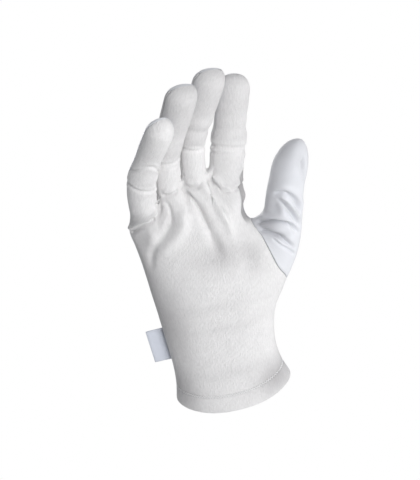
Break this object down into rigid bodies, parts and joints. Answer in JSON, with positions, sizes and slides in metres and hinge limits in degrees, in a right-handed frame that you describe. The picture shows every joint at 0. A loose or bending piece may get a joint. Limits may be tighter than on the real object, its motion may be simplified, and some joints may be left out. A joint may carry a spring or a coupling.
{
  "type": "parade glove",
  "caption": "Short white knitted cotton dress glove for the right hand, in its worn form, with slim fingers, fourchettes, a set-in thumb and a turned-up hem.",
  "frame": {"origin": "middle of the wrist opening, at the height where the side seams end", "axes": "+Z runs from the wrist opening to the fingertips, -Y is the palm side, +X is the thumb side"},
  "size_m": [0.145, 0.0729, 0.2506],
  "materials": {
    "cotton_knit": "matt fine-wale cotton knit with a light nap",
    "smooth_knit": "the smooth face of the knit, with a faint sheen",
    "hem_knit": "two layers of the cotton knit with a row of zigzag stitches",
    "label_ribbon": "plain woven ribbon, left bare"
  },
  "bodies": {
    "root": {"palm_panel": "cotton_knit", "back_panel": "cotton_knit", "little_front": "cotton_knit", "little_back": "cotton_knit", "ring_front": "cotton_knit", "ring_back": "cotton_knit", "middle_front": "cotton_knit", "middle_back": "cotton_knit", "index_front": "cotton_knit", "index_back": "cotton_knit", "fourchette_little": "cotton_knit", "fourchette_ring": "cotton_knit", "fourchette_middle": "cotton_knit", "thumb": "smooth_knit", "hem": "hem_knit", "side_label": "label_ribbon"}
  },
  "joints": []
}
